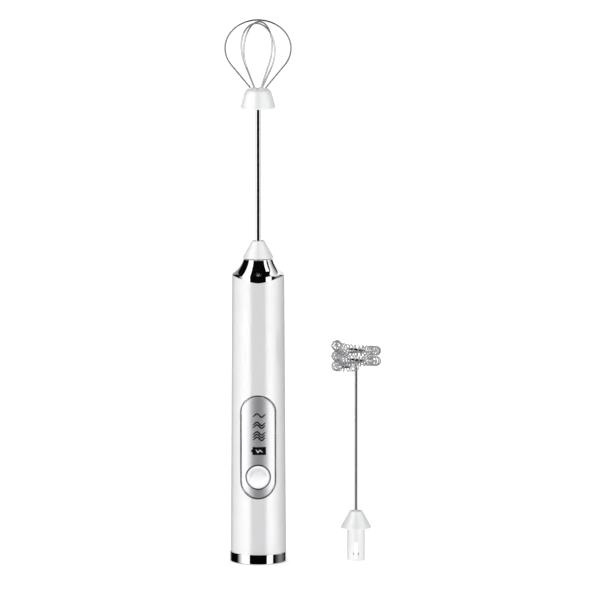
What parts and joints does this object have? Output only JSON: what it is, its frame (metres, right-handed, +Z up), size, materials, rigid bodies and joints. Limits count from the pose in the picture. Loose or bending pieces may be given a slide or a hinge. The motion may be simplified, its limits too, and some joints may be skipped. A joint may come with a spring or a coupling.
{
  "type": "handheld milk frother",
  "caption": "Slim upright cordless frother: a tapered handle with a flared bright nose, a button panel, a wire balloon whisk plugged in the nose and a spare coil-ring whisk beside it.",
  "frame": {"origin": "centre of the handle's foot, on the handle's axis, on the surface that it stands on", "axes": "+Z up the handle towards the whisk, -Y out of the button panel, +X towards the spare whisk"},
  "size_m": [0.0798, 0.0312, 0.2779],
  "materials": {
    "white_shell": "gloss white moulded plastic",
    "white_part": "white moulded plastic",
    "chrome_trim": "mirror-bright plating",
    "brushed_plate": "brushed silver",
    "black_trim": "gloss black",
    "black_rubber": "soft black",
    "light_guide": "milky translucent",
    "grey_chassis": "matte moulded",
    "board_green": "solder mask",
    "chip_black": "moulded package",
    "led_lens": "clear package",
    "small_parts": "ceramic bodies",
    "bright_steel": "bright drawn",
    "motor_steel": "nickelled sheet",
    "ivory_plastic": "moulded",
    "magnet": "dull ferrite",
    "bronze": "sintered",
    "carbon": "graphite",
    "brass_strip": "bright strip",
    "copper": "enamelled wire",
    "cell_sleeve": "shrink sleeve",
    "foam": "foam",
    "lead_insulation": "insulation",
    "whisk_wire": "polished stainless wire"
  },
  "bodies": {
    "handle": {"barrel": "white_shell", "base_ring": "chrome_trim", "end_cap": "white_part", "nose_cone": "chrome_trim", "nose_o_ring": "black_rubber", "splash_seal": "black_rubber", "panel_plate": "brushed_plate", "panel_gasket": "black_rubber", "button_bezel": "black_trim", "light_guide": "light_guide", "carrier": "grey_chassis", "circuit_board": "board_green", "board_screws": "bright_steel", "tact_switch": "chip_black", "indicator_leds": "led_lens", "charge_chip": "chip_black", "motor_transistor": "chip_black", "board_passives": "small_parts", "charge_board": "board_green", "usb_shell": "motor_steel", "usb_tongue": "chip_black", "charge_leads": "lead_insulation", "battery_cell": "cell_sleeve", "battery_tabs": "motor_steel", "battery_pad": "foam", "battery_leads": "lead_insulation", "motor_can": "motor_steel", "motor_end_bell": "ivory_plastic", "motor_magnets": "magnet", "front_bush": "bronze", "rear_bush": "bronze", "motor_brushes": "carbon", "motor_terminals": "brass_strip", "motor_damper": "black_rubber", "motor_leads": "lead_insulation"},
    "drive": {"motor_shaft": "bright_steel", "rotor_core": "motor_steel", "rotor_windings": "copper", "commutator": "copper", "commutator_sleeve": "ivory_plastic", "drive_socket": "white_part", "drive_pin": "bright_steel"},
    "egg_whisk": {"egg_plug": "white_part", "egg_shaft": "whisk_wire", "egg_hub": "white_part", "egg_loop_wide": "whisk_wire", "egg_loop_left": "whisk_wire", "egg_loop_right": "whisk_wire"},
    "button": {"button_cap": "white_part"},
    "switch_plunger": {"switch_plunger": "black_trim"},
    "milk_whisk": {"milk_plug": "white_part", "milk_shaft": "whisk_wire", "milk_core_wire": "whisk_wire", "milk_spring": "whisk_wire"}
  },
  "joints": [
    {"name": "drive_spin", "type": "hinge", "parent": "handle", "child": "drive", "pos_m": [0, 0, 0.13], "axis": [0, 0, 1], "continuous": true},
    {"name": "egg_whisk_pull", "type": "slide", "parent": "drive", "child": "egg_whisk", "axis": [0, 0, 1], "range_m": [0, 0.03]},
    {"name": "button_press", "type": "slide", "parent": "handle", "child": "button", "axis": [0, 1, 0], "range_m": [0, 0.0005], "stiffness_N_per_m": 800},
    {"name": "switch_plunge", "type": "slide", "parent": "handle", "child": "switch_plunger", "axis": [0, 1, 0], "range_m": [0, 0.0005]},
    {"name": "spare_whisk_lift", "type": "slide", "parent": "handle", "child": "milk_whisk", "axis": [0, 0, 1], "range_m": [0, 0.1]}
  ],
  "couplings": [
    {"joint": "switch_plunge", "follows": "button_press", "ratio": 1}
  ]
}
